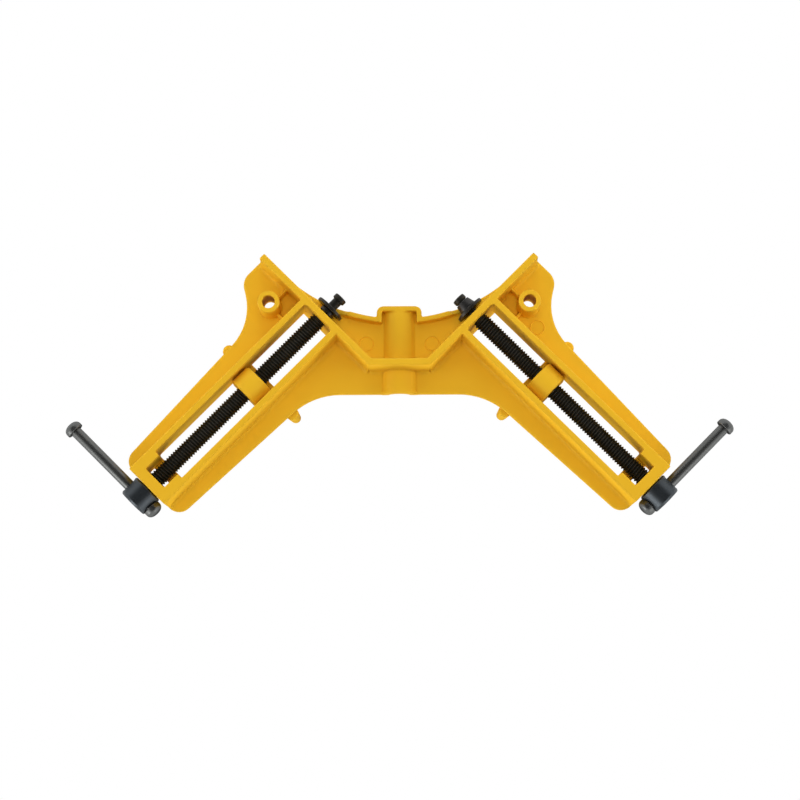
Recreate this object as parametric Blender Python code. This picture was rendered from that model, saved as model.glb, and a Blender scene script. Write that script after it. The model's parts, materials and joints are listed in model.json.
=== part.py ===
"""Two-screw corner clamp: a die-cast body with a right-angled fence, two sliding jaws and two spindles.

The clamp stands on its ribs with the jaws up. The fence corner points to -Y, where the user stands,
and the two arms run out to the front right and the front left.

Each arm has its own frame. Its u axis starts on the centre plane of the fence and runs outwards along
the spindle. Its w axis starts at the fence's virtual corner and runs along the fence to the ear.
All driving sizes are in millimetres and become metres where a mesh is made.
"""

import math

import bmesh
import bpy
from mathutils import Matrix, Vector

MM = 0.001
CLEARANCE = 0.3
RUNNING_GAP = 0.4
BOOLEAN_OVERSHOOT = 1.0
LAP = 0.05
ROOT_HALF = math.sqrt(0.5)

# Body casting, heights
DECK_TOP = 20.9
DECK_THICKNESS = 3.2
SPINDLE_HEIGHT = 9.6
FENCE_HEIGHT = 21.0
EDGE_BREAK = 0.5
ROOT_FILLET = 2.4
FILLET_STEPS = 4

# Arms
ARM_CENTRE_W = 58.9
ARM_END_U = 129.6
ARM_END_HALF_WIDTH = 21.2
ARM_TAPER = 0.043
ARM_CORNER_RADIUS = 7.3
SLOT_WIDTH = 19.8
SLOT_END_U = 113.5
SLOT_WALL_THICKNESS = 3.4
SLOT_WALL_DRAFT = 0.5
END_WALL_THICKNESS = 6.1
END_CHANNEL_WIDTH = 14.0
END_WINDOW_LENGTH = 3.2

# Fence and the rib below it
FENCE_ROOT_THICKNESS = 5.0
FENCE_RIM_THICKNESS = 3.8
FENCE_REACH_PAST_ARM = 46.5
CORNER_FLAT_Y = 15.9
FENCE_END_RADIUS = 6.0
FENCE_GUSSET_THICKNESS = 3.0
FENCE_GUSSET_REACH = 10.0
FENCE_GUSSET_HEIGHT = 15.0
FENCE_GUSSETS_FROM_CORNER = (12.0, 26.0)

# Back edge of the web: a hollow arc that runs into the rear edge of both ears
BACK_EDGE_Y = 41.5
REAR_LEDGE = 0.4
BACK_LIP_HEIGHT = 5.4
BACK_LIP_THICKNESS = 2.8
BACK_LIP_END_X = 42.0

# Half-round channel across the corner, and the tab that carries its rear end
CHANNEL_FRONT_RADIUS = 9.4
CHANNEL_REAR_RADIUS = 8.6
CHANNEL_INNER_RADIUS = 5.3
CHANNEL_FLARE = 0.5
CHANNEL_FLARE_LENGTH = 3.0
CHANNEL_PROUD = 0.3
TAB_REAR_Y = 48.2
TAB_HALF_WIDTH = 12.2
TAB_CORNER_RADIUS = 3.6
FRONT_EDGE_Y = 0.8
FRONT_BLEND_RADIUS = 38.0

# Ears with their mounting bosses
EAR_SHOULDER_U = 15.3
EAR_SHOULDER_RADIUS = 8.7
EAR_WAIST_U = 27.9
EAR_WAIST_RADIUS = 31.0
EAR_TIP_RADIUS = 1.6
EAR_BOSS_U = 15.0
EAR_BOSS_PAST_ARM = 24.7
EAR_BOSS_DIAMETER = 11.9
EAR_HOLE_DIAMETER = 6.9
EAR_WEB_THICKNESS = 1.4
EAR_WEB_HEIGHT = 4.5

# Moving jaws, with each face at its place at rest
JAW_FACE_U = {"right": 43.8, "left": 42.3}
JAW_WIDTH = 55.4
JAW_THICKNESS = 7.2
JAW_TOP_THICKNESS = 5.6
JAW_FLAT_AT_END = 0.2
JAW_BOSS_DIAMETER = 18.3
JAW_BOSS_LENGTH = 11.8
JAW_BOSS_SETBACK = 3.2
JAW_APRON_SETBACK = 0.6
JAW_APRON_LAP = 1.0
JAW_APRON_DEPTH = 2.0
JAW_GUSSET_THICKNESS = 3.2
JAW_GUSSET_OFFSET = 16.5
JAW_GUSSET_REACH = 10.0
JAW_GUSSET_HEIGHT = 15.0
JAW_COLUMN_TOP_DEPTH = 6.5
JAW_COLUMN_DROP = 4.0

# Spindles
SPINDLE_DIAMETER = 9.5
JOURNAL_DIAMETER = 7.8
NECK_DIAMETER = 5.3
BUTTON_DIAMETER = 7.2
BUTTON_LENGTH = 2.8
BUTTON_REACH = {"right": 12.5, "left": 11.7}
SPINDLE_CHAMFER = 0.8

# Retaining washers and collars on the spindle ends behind the fence
WASHER_DIAMETER = 16.5
WASHER_THICKNESS = 1.8
WASHER_STANDOFF = 1.4
PLAIN_COLLAR_DIAMETER = 8.3
PLAIN_COLLAR_LENGTH = 2.3
TAPER_COLLAR_DIAMETER = 10.0
TAPER_COLLAR_END_DIAMETER = 8.2
TAPER_COLLAR_LENGTH = 4.6

# Handle hubs and sliding bars
HUB_DIAMETER = 17.2
HUB_LENGTH = 11.7
HUB_END_WALL = 1.5
HUB_EDGE_RADIUS = 1.0
HUB_SPOT_FACE_DEPTH = 0.7
BAR_DIAMETER = 6.0
BAR_FREE_TRAVEL = 40.9
KNOB_DIAMETER = 9.5
KNOB_LENGTH = 4.9
KNOB_EDGE_RADIUS = 1.9
KNOB_END_WALL = 1.2

# Derived places
DECK_UNDERSIDE = DECK_TOP - DECK_THICKNESS
FENCE_TOP = DECK_TOP + FENCE_HEIGHT
FENCE_HALF = FENCE_ROOT_THICKNESS / 2
FENCE_RIM_HALF = FENCE_RIM_THICKNESS / 2
FENCE_LENGTH = ARM_CENTRE_W + FENCE_REACH_PAST_ARM
REAR_EDGE_U = -FENCE_HALF - REAR_LEDGE
CORNER_W = CORNER_FLAT_Y / ROOT_HALF
MITRE = math.tan(math.pi / 8)
SLOT_HALF = SLOT_WIDTH / 2
END_WALL_U = ARM_END_U - END_WALL_THICKNESS
HUB_U = ARM_END_U + RUNNING_GAP
BAR_U = HUB_U + HUB_LENGTH / 2
SPOT_FACE = HUB_DIAMETER / 2 - HUB_SPOT_FACE_DEPTH
KNOB_SEAT = SPOT_FACE + CLEARANCE
BACK_ARC_RADIUS = (BACK_EDGE_Y + REAR_EDGE_U / ROOT_HALF) / (1 / ROOT_HALF - 1)
BACK_ARC_CENTRE_Y = BACK_EDGE_Y + BACK_ARC_RADIUS
BACK_ARC_END_X = BACK_ARC_RADIUS * ROOT_HALF
BACK_ARC_END_W = (BACK_EDGE_Y + BACK_ARC_RADIUS) * ROOT_HALF
FENCE_GUSSET_PLACES = [CORNER_W + reach for reach in FENCE_GUSSETS_FROM_CORNER]
EAR_BOSS_PLACE = (EAR_BOSS_U, ARM_CENTRE_W + EAR_BOSS_PAST_ARM)
SIDES = {"right": 1, "left": -1}

FINISHES = {
    "yellow_enamel": ((0.76, 0.37, 0.018), 0.42, 0.0),
    "black_oxide": ((0.012, 0.011, 0.010), 0.38, 0.7),
    "dark_cast_steel": ((0.050, 0.062, 0.072), 0.40, 0.8),
    "grey_bar_steel": ((0.085, 0.088, 0.090), 0.38, 0.85),
}


def clear_scene():
    """Remove every object that the file holds."""
    for item in list(bpy.data.objects):
        bpy.data.objects.remove(item, do_unlink=True)


def finish(name):
    """Return the material of that name, made once."""
    if name in bpy.data.materials:
        return bpy.data.materials[name]
    colour, roughness, metallic = FINISHES[name]
    material = bpy.data.materials.new(name)
    material.use_nodes = True
    shader = material.node_tree.nodes["Principled BSDF"]
    shader.inputs["Base Color"].default_value = (*colour, 1.0)
    shader.inputs["Roughness"].default_value = roughness
    shader.inputs["Metallic"].default_value = metallic
    return material


def object_from(name, build):
    """Link a new object whose closed mesh is filled by build(bm)."""
    bm = bmesh.new()
    build(bm)
    bmesh.ops.remove_doubles(bm, verts=bm.verts[:], dist=1e-7)
    bmesh.ops.recalc_face_normals(bm, faces=bm.faces[:])
    mesh = bpy.data.meshes.new(name)
    bm.to_mesh(mesh)
    bm.free()
    item = bpy.data.objects.new(name, mesh)
    bpy.context.scene.collection.objects.link(item)
    return item


def combine(target, tool, operation):
    """Apply an exact Boolean of tool to target and delete the tool."""
    modifier = target.modifiers.new("combine", "BOOLEAN")
    modifier.operation = operation
    modifier.solver = "EXACT"
    modifier.object = tool
    bpy.context.view_layer.update()
    depsgraph = bpy.context.evaluated_depsgraph_get()
    mesh = bpy.data.meshes.new_from_object(target.evaluated_get(depsgraph))
    target.modifiers.clear()
    target.data = mesh
    bpy.data.objects.remove(tool, do_unlink=True)
    return target


def join(target, *tools):
    """Union the tools into the target."""
    for tool in tools:
        combine(target, tool, "UNION")
    return target


def cut(target, *tools):
    """Cut the tools out of the target."""
    for tool in tools:
        combine(target, tool, "DIFFERENCE")
    return target


def dress(item, name, parent=None, sharp_angle=35.0):
    """Give a finished piece its material, smooth shading and parent."""
    item.data.materials.clear()
    item.data.materials.append(finish(name))
    item.data.shade_smooth()
    item.data.set_sharp_from_angle(angle=math.radians(sharp_angle))
    item.data.name = item.name
    item.parent = parent
    return item


def plan(side, u, w):
    """Return world x, y in millimetres of an arm's point."""
    return (side * (w + u) * ROOT_HALF, (w - u) * ROOT_HALF)


def arm_point(side, u, w, z):
    """Return an arm's point as a world vector in metres."""
    x, y = plan(side, u, w)
    return Vector((x, y, z)) * MM


def rounded(corners, steps=8):
    """Turn corners (x, y, radius) into an outline with round corners."""
    outline = []
    for index, (x, y, radius) in enumerate(corners):
        corner = Vector((x, y))
        if radius == 0:
            outline.append(corner)
            continue
        before = (Vector(corners[index - 1][:2]) - corner).normalized()
        after = (Vector(corners[(index + 1) % len(corners)][:2]) - corner).normalized()
        half_angle = before.angle(after) / 2
        centre = corner + (before + after).normalized() * radius / math.sin(half_angle)
        start = corner + before * radius / math.tan(half_angle) - centre
        end = corner + after * radius / math.tan(half_angle) - centre
        sweep = start.angle_signed(end)
        for step in range(steps + 1):
            turned_radius = start.copy()
            turned_radius.rotate(Matrix.Rotation(-sweep * step / steps, 2))
            outline.append(centre + turned_radius)
    return outline


def prism(name, outline, low, high):
    """Extrude a plan outline between two heights."""

    def build(bm):
        lower = [bm.verts.new(Vector((x, y, low)) * MM) for x, y in outline]
        floor = bm.faces.new(lower)
        grown = bmesh.ops.extrude_face_region(bm, geom=[floor], use_keep_orig=True)
        raised = [part for part in grown["geom"] if isinstance(part, bmesh.types.BMVert)]
        bmesh.ops.translate(bm, verts=raised, vec=(0, 0, (high - low) * MM))

    return object_from(name, build)


def loft(name, near, far):
    """Join two like outlines of world points by side faces and end caps."""

    def build(bm):
        first = [bm.verts.new(point) for point in near]
        second = [bm.verts.new(point) for point in far]
        bm.faces.new(first)
        bm.faces.new(second)
        for index in range(len(first)):
            after = (index + 1) % len(first)
            bm.faces.new((first[index], first[after], second[after], second[index]))

    return object_from(name, build)


def turned(name, profile, segments=36):
    """Spin a profile of (x, radius) points round the X axis. It starts and ends on the axis."""

    def build(bm):
        points = [bm.verts.new((x * MM, 0, radius * MM)) for x, radius in profile]
        edges = [bm.edges.new(pair) for pair in zip(points, points[1:])]
        bmesh.ops.spin(
            bm,
            geom=points + edges,
            cent=(0, 0, 0),
            axis=(1, 0, 0),
            angle=math.tau,
            steps=segments,
            use_merge=True,
        )

    return object_from(name, build)


def rod(name, start, end, diameter, segments=36):
    """Make a plain cylinder along X."""
    radius = diameter / 2
    return turned(name, [(start, 0), (start, radius), (end, radius), (end, 0)], segments)


def quarter(centre_x, centre_r, radius, start, end, steps=3):
    """Return profile points of an arc, with angles in degrees from the X axis."""
    points = []
    for step in range(steps + 1):
        angle = math.radians(start + (end - start) * step / steps)
        points.append((centre_x + radius * math.cos(angle), centre_r + radius * math.sin(angle)))
    return points


def arm_matrix(side):
    """Return the frame of an arm's spindle: X along the spindle, Z up."""
    x, y = plan(side, 0, ARM_CENTRE_W)
    heading = math.atan2(-1, side)
    place = Matrix.Translation(Vector((x, y, SPINDLE_HEIGHT)) * MM)
    return place @ Matrix.Rotation(heading, 4, "Z")


def rib_section(rim_z, deck_z, back, front):
    """Return the (offset, height) outline of a rib that grows from a deck.

    back and front are (half thickness at the rim, half thickness at the root, root fillet).
    """
    direction = 1 if deck_z > rim_z else -1

    def flank(sign, rim_half, root_half, fillet):
        points = [
            (sign * (rim_half - EDGE_BREAK), rim_z),
            (sign * rim_half, rim_z + direction * EDGE_BREAK),
        ]
        if fillet:
            for step in range(FILLET_STEPS + 1):
                angle = math.radians(90 * step / FILLET_STEPS)
                offset = root_half + fillet * (1 - math.cos(angle))
                points.append((sign * offset, deck_z - direction * fillet * (1 - math.sin(angle))))
        else:
            points.append((sign * root_half, deck_z))
        points.append((points[-1][0], deck_z + direction * BOOLEAN_OVERSHOOT))
        return points

    return flank(-1, *back) + list(reversed(flank(1, *front)))


def straight_rib(name, start, end, section, side=None):
    """Sweep a section along a straight line. Its positive side is to the left of the way.

    With a side given, start and end are (u, w) on that arm. Otherwise they are world (x, y).
    """
    way = (Vector(end) - Vector(start)).normalized()
    across = Vector((-way.y, way.x))

    def station(place):
        points = []
        for offset, height in section:
            spot = Vector(place) + across * offset
            x, y = plan(side, *spot) if side else spot
            points.append(Vector((x, y, height)) * MM)
        return points

    return loft(name, station(start), station(end))


def slab(name, side, outline, front, back):
    """Extrude an elevation outline of (w, z) points between the planes front(z) and back(z)."""
    near = [arm_point(side, front(z), w, z) for w, z in outline]
    far = [arm_point(side, back(z), w, z) for w, z in outline]
    return loft(name, near, far)


def arm_block(name, side, u_range, half_width, z_range):
    """Make a box that lies along an arm, centred on its spindle."""
    corners = [
        plan(side, u, ARM_CENTRE_W + sign * half_width)
        for u, sign in ((u_range[0], -1), (u_range[1], -1), (u_range[1], 1), (u_range[0], 1))
    ]
    return prism(name, corners, *z_range)


def back_arc(offset, start_x, end_x, steps=10):
    """Return points of the hollow back edge, moved forwards by an offset."""
    radius = BACK_ARC_RADIUS + offset
    points = []
    for step in range(steps + 1):
        x = start_x + (end_x - start_x) * step / steps
        points.append(Vector((x, BACK_ARC_CENTRE_Y - math.sqrt(radius**2 - x**2))))
    return points


def arm_half_width(u):
    """Return half the width of an arm at a distance along it."""
    return ARM_END_HALF_WIDTH + ARM_TAPER * (ARM_END_U - u)


def front_corner():
    """Return the corner where the front edge would meet the inner edge of the right arm."""
    room = ARM_CENTRE_W - arm_half_width(0) - FRONT_EDGE_Y / ROOT_HALF
    u = room / (1 - ARM_TAPER)
    return plan(1, u, ARM_CENTRE_W - arm_half_width(u))


def rear_edge(offset, end_x):
    """Return the right half of the rear edge, moved inwards by an offset.

    It starts on the centre line, goes round the tab and then along the hollow arc.
    """
    side = TAB_HALF_WIDTH - offset
    rear = TAB_REAR_Y - offset
    arc = back_arc(offset, side, end_x)
    corner = rounded([(0, rear, 0), (side, rear, TAB_CORNER_RADIUS - offset), (side, arc[0].y, 0)])
    return corner[:-1] + arc


def deck_half_outline():
    """Return the right half of the deck's outline, from the back centre to the front centre."""
    rear = rear_edge(0, BACK_ARC_END_X)
    front = rounded([
        (*rear[-1], 0),
        (*plan(1, REAR_EDGE_U, FENCE_LENGTH), EAR_TIP_RADIUS),
        (*plan(1, EAR_SHOULDER_U, FENCE_LENGTH), EAR_SHOULDER_RADIUS),
        (*plan(1, EAR_WAIST_U, ARM_CENTRE_W + arm_half_width(EAR_WAIST_U)), EAR_WAIST_RADIUS),
        (*plan(1, ARM_END_U, ARM_CENTRE_W + ARM_END_HALF_WIDTH), ARM_CORNER_RADIUS),
        (*plan(1, ARM_END_U, ARM_CENTRE_W - ARM_END_HALF_WIDTH), ARM_CORNER_RADIUS),
        (*front_corner(), FRONT_BLEND_RADIUS),
        (0, FRONT_EDGE_Y, 0),
    ])
    return rear + front[1:]


def mirrored_outline(half):
    """Close a right half outline with its mirror image."""
    left = [Vector((-point.x, point.y)) for point in reversed(half) if abs(point.x) > 1e-6]
    return half + left


def deck():
    """Make the flat deck plate with both arms, the ears and the web."""
    return prism("body_casting", mirrored_outline(deck_half_outline()), DECK_UNDERSIDE, DECK_TOP)


def lower_ribs(side):
    """Return the ribs below the deck on one arm."""
    tip = (0, FENCE_LENGTH - EAR_TIP_RADIUS)
    corner = (0, CORNER_W - FENCE_HALF * MITRE)
    narrow = math.sqrt(2 * BACK_ARC_RADIUS * ROOT_FILLET - ROOT_FILLET**2)
    web_end = (0, BACK_ARC_END_W - narrow)
    plain = (FENCE_RIM_HALF, FENCE_HALF - LAP, 0)
    filleted = (FENCE_RIM_HALF, FENCE_HALF - LAP, ROOT_FILLET)
    wide = (FENCE_RIM_HALF + LAP, FENCE_HALF, ROOT_FILLET + LAP)
    ear_section = rib_section(0, DECK_UNDERSIDE, plain, filleted)
    web_section = rib_section(0, DECK_UNDERSIDE, wide, wide)
    ribs = [
        straight_rib("fence_rib", tip, corner, ear_section, side),
        straight_rib("web_rib", web_end, corner, web_section, side),
    ]
    half = SLOT_WALL_THICKNESS / 2
    inner = (half + BOOLEAN_OVERSHOOT, half + BOOLEAN_OVERSHOOT, 0)
    outer = (half, half + SLOT_WALL_DRAFT, ROOT_FILLET)
    for sign in (-1, 1):
        w = ARM_CENTRE_W + sign * (SLOT_HALF + half)
        flanks = (inner, outer) if sign > 0 else (outer, inner)
        section = rib_section(0, DECK_UNDERSIDE, *flanks)
        ribs.append(straight_rib("slot_wall", (0, w), (ARM_END_U - LAP, w), section, side))
    return ribs


def end_wall(side):
    """Return an arm's end wall, and the block that narrows the slot beside it."""
    half = END_WALL_THICKNESS / 2
    outer = (half + LAP, half + LAP, 0)
    inner = (half + BOOLEAN_OVERSHOOT, half + BOOLEAN_OVERSHOOT, 0)
    section = rib_section(0, DECK_UNDERSIDE, outer, inner)
    reach = SLOT_HALF + SLOT_WALL_THICKNESS - 2 * LAP
    u = ARM_END_U - half
    start = (u, ARM_CENTRE_W - reach)
    end = (u, ARM_CENTRE_W + reach)
    wall = straight_rib("end_wall", start, end, section, side)
    half_width = SLOT_HALF + SLOT_WALL_THICKNESS / 2
    u_range = (SLOT_END_U - BOOLEAN_OVERSHOOT, u)
    block = arm_block("block", side, u_range, half_width, (0, DECK_UNDERSIDE + BOOLEAN_OVERSHOOT))
    return join(wall, block)


def corner_rib():
    """Return the flat rib that cuts off the corner below the deck."""
    flank = (FENCE_RIM_HALF, FENCE_HALF, ROOT_FILLET)
    section = rib_section(0, DECK_UNDERSIDE, flank, flank)
    reach = CORNER_FLAT_Y
    return straight_rib("corner_rib", (-reach, CORNER_FLAT_Y), (reach, CORNER_FLAT_Y), section)


def fence_wall(side):
    """Return one working wall of the fence above the deck, square in front and drafted behind."""
    low = DECK_TOP - BOOLEAN_OVERSHOOT
    tip_w = FENCE_LENGTH - EAR_TIP_RADIUS
    corner_w = CORNER_W - FENCE_HALF * MITRE - LAP
    outline = rounded([
        (corner_w, low, 0),
        (tip_w, low, 0),
        (tip_w, FENCE_TOP, FENCE_END_RADIUS),
        (corner_w, FENCE_TOP, 0),
    ])
    draft = (FENCE_HALF - FENCE_RIM_HALF) / FENCE_HEIGHT
    return slab(
        "fence_wall",
        side,
        [(point.x, point.y) for point in outline],
        lambda z: FENCE_HALF,
        lambda z: LAP - FENCE_HALF + draft * (z - low),
    )


def fence_gusset(side, w):
    """Return a three-cornered web that braces the fence from behind."""
    low = DECK_TOP - BOOLEAN_OVERSHOOT
    profile = [
        (0, low),
        (-FENCE_HALF - FENCE_GUSSET_REACH, low),
        (-FENCE_HALF - FENCE_GUSSET_REACH, DECK_TOP + BOOLEAN_OVERSHOOT),
        (-FENCE_HALF, DECK_TOP + FENCE_GUSSET_HEIGHT),
        (0, DECK_TOP + FENCE_GUSSET_HEIGHT),
    ]
    half = FENCE_GUSSET_THICKNESS / 2
    near = [arm_point(side, u, w - half, z) for u, z in profile]
    far = [arm_point(side, u, w + half, z) for u, z in profile]
    return loft("fence_gusset", near, far)


def corner_wall():
    """Return the flat wall that joins both fence walls across the corner."""
    front = CORNER_FLAT_Y - FENCE_HALF
    rear = CORNER_FLAT_Y + FENCE_RIM_HALF
    reach = CORNER_FLAT_Y + FENCE_HALF * MITRE - LAP
    outline = [(-reach, front), (reach, front), (rear, rear), (-rear, rear)]
    return prism("corner_wall", outline, DECK_TOP - BOOLEAN_OVERSHOOT, FENCE_TOP)


def back_lip():
    """Return the lip below the rear edge, which also goes round the tab."""
    outer = rear_edge(2 * LAP, BACK_LIP_END_X)
    inner = rear_edge(BACK_LIP_THICKNESS, BACK_LIP_END_X)
    left_outer = [Vector((-point.x, point.y)) for point in reversed(outer[1:])]
    left_inner = [Vector((-point.x, point.y)) for point in inner[1:]]
    outline = left_outer + outer + list(reversed(inner)) + left_inner
    low = DECK_UNDERSIDE - BACK_LIP_HEIGHT
    return prism("back_lip", outline, low, DECK_UNDERSIDE + BOOLEAN_OVERSHOOT)


def along_y(item, height):
    """Turn a piece made along X so that it lies along Y at a height."""
    place = Matrix.Translation((0, 0, height * MM)) @ Matrix.Rotation(math.pi / 2, 4, "Z")
    item.data.transform(place)
    return item


def channel():
    """Return the lower half of the round channel, with its front flare."""
    front = FRONT_EDGE_Y - CHANNEL_PROUD
    profile = [
        (front, 0),
        (front, CHANNEL_FRONT_RADIUS + CHANNEL_FLARE),
        (front + CHANNEL_FLARE_LENGTH, CHANNEL_FRONT_RADIUS),
        (CORNER_FLAT_Y - LAP, CHANNEL_FRONT_RADIUS),
        (CORNER_FLAT_Y + LAP, CHANNEL_REAR_RADIUS),
        (TAB_REAR_Y - 4 * LAP, CHANNEL_REAR_RADIUS),
        (TAB_REAR_Y - 4 * LAP, 0),
    ]
    body = along_y(turned("channel", profile), DECK_TOP)
    reach = 2 * CHANNEL_FRONT_RADIUS
    rear = TAB_REAR_Y + reach
    square = [(-reach, -reach), (reach, -reach), (reach, rear), (-reach, rear)]
    above = prism("above", square, DECK_TOP - BOOLEAN_OVERSHOOT, DECK_TOP + reach)
    return cut(body, above)


def groove():
    """Return the cutter of the channel's round groove and of the gap in the corner wall over it."""
    rear = TAB_REAR_Y + BOOLEAN_OVERSHOOT
    tube = rod("groove", -BOOLEAN_OVERSHOOT, rear, 2 * CHANNEL_INNER_RADIUS, 44)
    half = CHANNEL_INNER_RADIUS - LAP
    front = CORNER_FLAT_Y - 2 * FENCE_HALF
    back = CORNER_FLAT_Y + 2 * FENCE_HALF
    gap = [(-half, front), (half, front), (half, back), (-half, back)]
    upper = prism("gap", gap, DECK_TOP - EDGE_BREAK, FENCE_TOP + BOOLEAN_OVERSHOOT)
    return join(along_y(tube, DECK_TOP), upper)


def upright(item, side, place):
    """Stand a piece made along X upright at an arm's place."""
    x, y = plan(side, *place)
    turn = Matrix.Rotation(-math.pi / 2, 4, "Y")
    item.data.transform(Matrix.Translation((x * MM, y * MM, 0)) @ turn)
    return item


def ear_boss(side):
    """Return the mounting boss below an ear, with two low webs to the walls beside it."""
    cylinder = rod("ear_boss", 0, DECK_TOP - BOOLEAN_OVERSHOOT, EAR_BOSS_DIAMETER)
    boss = upright(cylinder, side, EAR_BOSS_PLACE)
    half = EAR_WEB_THICKNESS / 2
    flank = (half, half, 0)
    web_rim = DECK_UNDERSIDE - EAR_WEB_HEIGHT
    section = rib_section(web_rim, DECK_UNDERSIDE, flank, flank)
    u, w = EAR_BOSS_PLACE
    for end in ((0, w), (u, ARM_CENTRE_W + SLOT_HALF + SLOT_WALL_THICKNESS / 2)):
        join(boss, straight_rib("web", (u, w), end, section, side))
    return boss


def ear_hole(side):
    """Return the cutter of an ear's screw hole."""
    hole = rod("ear_hole", -BOOLEAN_OVERSHOOT, DECK_TOP + BOOLEAN_OVERSHOOT, EAR_HOLE_DIAMETER)
    return upright(hole, side, EAR_BOSS_PLACE)


def arm_cutters(side):
    """Return the cutters of an arm: the slot, the end channel and window, and the spindle's bores."""
    below = -BOOLEAN_OVERSHOOT
    above = DECK_TOP + BOOLEAN_OVERSHOOT
    slot = arm_block("slot", side, (FENCE_HALF + LAP, SLOT_END_U), SLOT_HALF, (below, above))
    channel_range = (SLOT_END_U - BOOLEAN_OVERSHOOT, END_WALL_U)
    half = END_CHANNEL_WIDTH / 2
    end_channel = arm_block("end_channel", side, channel_range, half, (below, DECK_UNDERSIDE))
    window_range = (END_WALL_U - END_WINDOW_LENGTH, END_WALL_U - LAP)
    window_low = DECK_UNDERSIDE - BOOLEAN_OVERSHOOT
    window = arm_block("window", side, window_range, half - LAP, (window_low, above))
    fence_bore = rod("bore", -2 * FENCE_HALF, 2 * FENCE_HALF, JOURNAL_DIAMETER + 2 * CLEARANCE)
    end_bore_range = (END_WALL_U - BOOLEAN_OVERSHOOT, ARM_END_U + BOOLEAN_OVERSHOOT)
    end_bore = rod("bore", *end_bore_range, SPINDLE_DIAMETER + 2 * CLEARANCE)
    relief_end = -FENCE_HALF - max(BUTTON_REACH.values()) - BOOLEAN_OVERSHOOT
    relief = rod("relief", relief_end, -FENCE_HALF - LAP, WASHER_DIAMETER + 2 * CLEARANCE)
    for item in (fence_bore, end_bore, relief):
        item.data.transform(arm_matrix(side))
    return [slot, end_channel, window, fence_bore, end_bore, relief]


def body_casting():
    """Build the body as the union of its deck, ribs, walls and bosses, less its slots and bores."""
    body = join(deck(), corner_rib(), back_lip(), channel(), corner_wall())
    for side in SIDES.values():
        join(body, *lower_ribs(side), end_wall(side), fence_wall(side), ear_boss(side))
        for w in FENCE_GUSSET_PLACES:
            join(body, fence_gusset(side, w))
    cut(body, groove())
    for side in SIDES.values():
        cut(body, ear_hole(side), *arm_cutters(side))
    return dress(body, "yellow_enamel")


def jaw_plate(face):
    """Return the face plate of a moving jaw, with round upright ends, in the arm's frame."""
    low = DECK_TOP + RUNNING_GAP - SPINDLE_HEIGHT
    high = FENCE_TOP - SPINDLE_HEIGHT
    half = JAW_WIDTH / 2

    def level(z, thickness):
        edge = (thickness - JAW_FLAT_AT_END) / 2
        corners = [
            (face, -half, edge),
            (face, half, edge),
            (face + thickness, half, edge),
            (face + thickness, -half, edge),
        ]
        return [Vector((x, y, z)) * MM for x, y in rounded(corners, 6)]

    return loft("jaw", level(low, JAW_THICKNESS), level(high, JAW_TOP_THICKNESS))


def jaw_column(face):
    """Return the neck that carries the jaw through the slot and rises behind the plate."""
    start = face + JAW_BOSS_SETBACK
    foot = start + JAW_BOSS_LENGTH
    deck_z = DECK_TOP - SPINDLE_HEIGHT
    top_z = FENCE_TOP - SPINDLE_HEIGHT - JAW_COLUMN_DROP
    half = JAW_BOSS_DIAMETER / 2 - 2 * LAP
    elevation = [
        (start, 0),
        (foot, 0),
        (foot, deck_z + BOOLEAN_OVERSHOOT),
        (start + JAW_COLUMN_TOP_DEPTH, top_z),
        (start, top_z),
    ]
    near = [Vector((x, -half, z)) * MM for x, z in elevation]
    far = [Vector((x, half, z)) * MM for x, z in elevation]
    return loft("column", near, far)


def jaw_front_apron(face):
    """Return the plate's lower middle, which reaches down through the slot to the boss."""
    half = JAW_BOSS_DIAMETER / 2 - 4 * LAP
    deck_z = DECK_TOP - SPINDLE_HEIGHT
    front = face + JAW_APRON_SETBACK
    back = face + JAW_BOSS_SETBACK + JAW_APRON_LAP
    corners = [(front, -half), (back, -half), (back, half), (front, half)]
    low = JAW_BOSS_DIAMETER / 2 - JAW_APRON_DEPTH
    return prism("apron", corners, low, deck_z + BOOLEAN_OVERSHOOT)


def jaw_gusset(face, sign):
    """Return a three-cornered web behind the jaw plate."""
    low = DECK_TOP + RUNNING_GAP - SPINDLE_HEIGHT + LAP
    rear = face + JAW_THICKNESS + JAW_GUSSET_REACH
    inside = face + JAW_TOP_THICKNESS / 2
    elevation = [
        (inside, low),
        (rear, low),
        (rear, low + BOOLEAN_OVERSHOOT),
        (face + JAW_TOP_THICKNESS, low + JAW_GUSSET_HEIGHT),
        (inside, low + JAW_GUSSET_HEIGHT),
    ]
    centre = sign * JAW_GUSSET_OFFSET
    half = JAW_GUSSET_THICKNESS / 2
    near = [Vector((x, centre - half, z)) * MM for x, z in elevation]
    far = [Vector((x, centre + half, z)) * MM for x, z in elevation]
    return loft("gusset", near, far)


def jaw_boss(start, end):
    """Return the round boss that the spindle runs through."""
    radius = JAW_BOSS_DIAMETER / 2
    return turned("boss", [
        (start, 0),
        (start, radius - EDGE_BREAK),
        (start + EDGE_BREAK, radius),
        (end - EDGE_BREAK, radius),
        (end, radius - EDGE_BREAK),
        (end, 0),
    ])


def bore(start, end, diameter, segments=36):
    """Return the cutter of a through bore, which runs past both ends."""
    return rod("bore", start - BOOLEAN_OVERSHOOT, end + BOOLEAN_OVERSHOOT, diameter, segments)


def moving_jaw(prefix, frame):
    """Build a moving jaw: plate, gussets and column on a threaded boss that runs in the slot."""
    face = JAW_FACE_U[prefix]
    start = face + JAW_BOSS_SETBACK
    end = start + JAW_BOSS_LENGTH
    jaw = join(jaw_plate(face), jaw_column(face), jaw_front_apron(face), jaw_boss(start, end))
    join(jaw, jaw_gusset(face, -1), jaw_gusset(face, 1))
    cut(jaw, bore(start, end, SPINDLE_DIAMETER + 2 * CLEARANCE))
    jaw.name = f"{prefix}_moving_jaw"
    return dress(jaw, "yellow_enamel", frame)


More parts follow.
